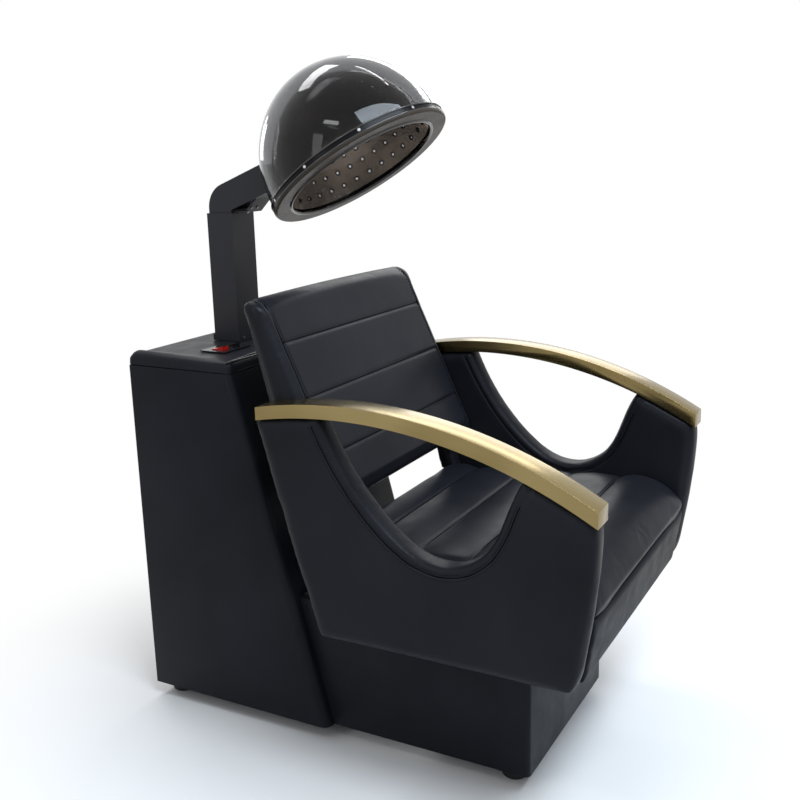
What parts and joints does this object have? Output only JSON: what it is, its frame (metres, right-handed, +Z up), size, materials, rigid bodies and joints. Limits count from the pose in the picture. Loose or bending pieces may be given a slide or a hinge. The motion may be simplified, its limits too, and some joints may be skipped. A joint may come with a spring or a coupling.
{
  "type": "hooded dryer chair",
  "caption": "Padded black salon chair on a plinth with arched gold arm bars, a dryer cabinet behind it and a tilting clear hood on a telescoping post.",
  "frame": {"origin": "floor level under the middle of the whole chair's bounding box", "axes": "+Z up, -Y the way the sitter faces, -X the sitter's right"},
  "size_m": [0.66, 0.9807, 1.2756],
  "materials": {
    "black_leather": "smooth, soft sheen",
    "gold_bar": "satin brushed",
    "black_metal": "matte powder coat",
    "smoked_dome": "glossy smoky clear",
    "inner_shell": "glossy dark",
    "rim_plastic": "glossy black",
    "ring_plastic": "glossy black",
    "chrome_screw": "polished",
    "steel_fastener": "zinc plated",
    "guide_plastic": "smooth nylon",
    "switch_plastic": "glossy black",
    "red_rocker": "glossy red",
    "board_wood": "raw plywood",
    "blower_metal": "plain sheet",
    "grille_plastic": "matte black",
    "foot_rubber": "black moulded",
    "motor_steel": "plain can"
  },
  "bodies": {
    "base": {"feet": "foot_rubber", "cabinet_right_side": "black_leather", "cabinet_left_side": "black_leather", "cabinet_front": "black_leather", "cabinet_rear_cover": "black_leather", "cabinet_lid": "black_leather", "cabinet_bottom": "board_wood", "blower_shelf": "board_wood", "rear_cover_screws": "steel_fastener", "intake_grille": "grille_plastic", "power_inlet": "grille_plastic", "control_plate": "switch_plastic", "switch_housings": "switch_plastic", "blower_housing": "blower_metal", "blower_motor": "motor_steel", "motor_bracket": "blower_metal", "heater_box": "blower_metal", "heater_element": "steel_fastener", "air_duct": "blower_metal", "post_flange": "black_metal", "post_flange_screws": "chrome_screw", "post_sleeve": "black_metal", "upper_guide_bush": "guide_plastic", "plinth_front": "black_leather", "plinth_right_side": "black_leather", "plinth_left_side": "black_leather", "plinth_rear": "board_wood", "seat_deck": "board_wood", "seat_side_rails": "board_wood", "seat_cross_rails": "board_wood", "seat_board": "board_wood", "arm_bar_studs": "steel_fastener", "arm_bar_right": "gold_bar", "arm_bar_left": "gold_bar", "frame_bolts": "steel_fastener", "side_panel_right": "black_leather", "side_panel_left": "black_leather", "backrest_frame": "black_leather", "backrest_cushion": "black_leather", "seat_cushion": "black_leather", "seat_apron": "black_leather"},
    "lift": {"lower_guide_bush": "guide_plastic", "arm_tube": "black_metal", "arm_end_plate": "black_metal", "hinge_pin": "steel_fastener", "arm_brace": "black_metal", "arm_screws": "chrome_screw"},
    "hood": {"outer_dome": "smoked_dome", "rim_screws": "chrome_screw", "inner_dome": "inner_shell", "mouth_ring": "ring_plastic", "rim_band": "rim_plastic", "inner_seal": "rim_plastic", "hood_bracket": "black_metal", "hood_backing_plate": "black_metal", "hood_bracket_screws": "chrome_screw", "air_spout": "guide_plastic"},
    "impeller": {"blower_impeller": "grille_plastic"},
    "power_rocker": {"power_rocker": "red_rocker"},
    "heat_rocker": {"heat_rocker": "switch_plastic"}
  },
  "joints": [
    {"name": "arm_lift", "type": "slide", "parent": "base", "child": "lift", "axis": [0, 0, 1], "range_m": [0, 0.15]},
    {"name": "hood_tilt", "type": "hinge", "parent": "lift", "child": "hood", "pos_m": [0, 0.27659, 1.0395], "axis": [1, 0, 0], "range_deg": [-12, 33]},
    {"name": "impeller_spin", "type": "hinge", "parent": "base", "child": "impeller", "pos_m": [0, 0.356, 0.4815], "axis": [1, 0, 0], "continuous": true},
    {"name": "power_rocker_tilt", "type": "hinge", "parent": "base", "child": "power_rocker", "pos_m": [-0.128, 0.346, 0.734], "axis": [1, 0, 0], "range_deg": [0, 14]},
    {"name": "heat_rocker_tilt", "type": "hinge", "parent": "base", "child": "heat_rocker", "pos_m": [-0.092, 0.346, 0.734], "axis": [1, 0, 0], "range_deg": [0, 14]}
  ]
}
